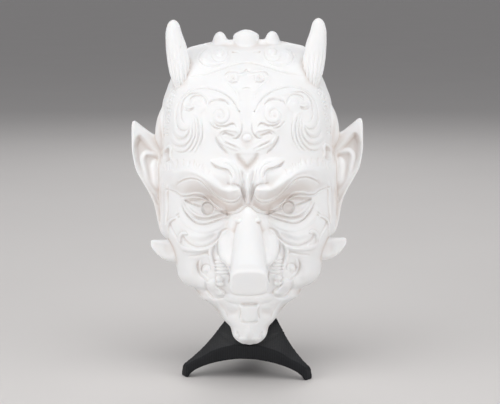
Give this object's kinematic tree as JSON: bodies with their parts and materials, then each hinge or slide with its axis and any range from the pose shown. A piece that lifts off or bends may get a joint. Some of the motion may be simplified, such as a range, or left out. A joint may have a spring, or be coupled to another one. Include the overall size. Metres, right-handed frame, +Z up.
{
  "type": "horned demon mask on stand",
  "caption": "Horned, pointed-eared demon mask with a long squarish nose and carved scrollwork, hollow at the back, resting on an arched stand with narrow feet.",
  "frame": {"origin": "on the floor under the centre of the bounding box", "axes": "+Z up, the face looks along -Y, +X to the right as seen from the front"},
  "size_m": [0.1466, 0.1214, 0.217],
  "materials": {
    "white_print": "matt white with a fine print grain",
    "black_print": "matt black with faint print lines"
  },
  "bodies": {
    "root": {"mask": "white_print", "stand": "black_print"}
  },
  "joints": []
}
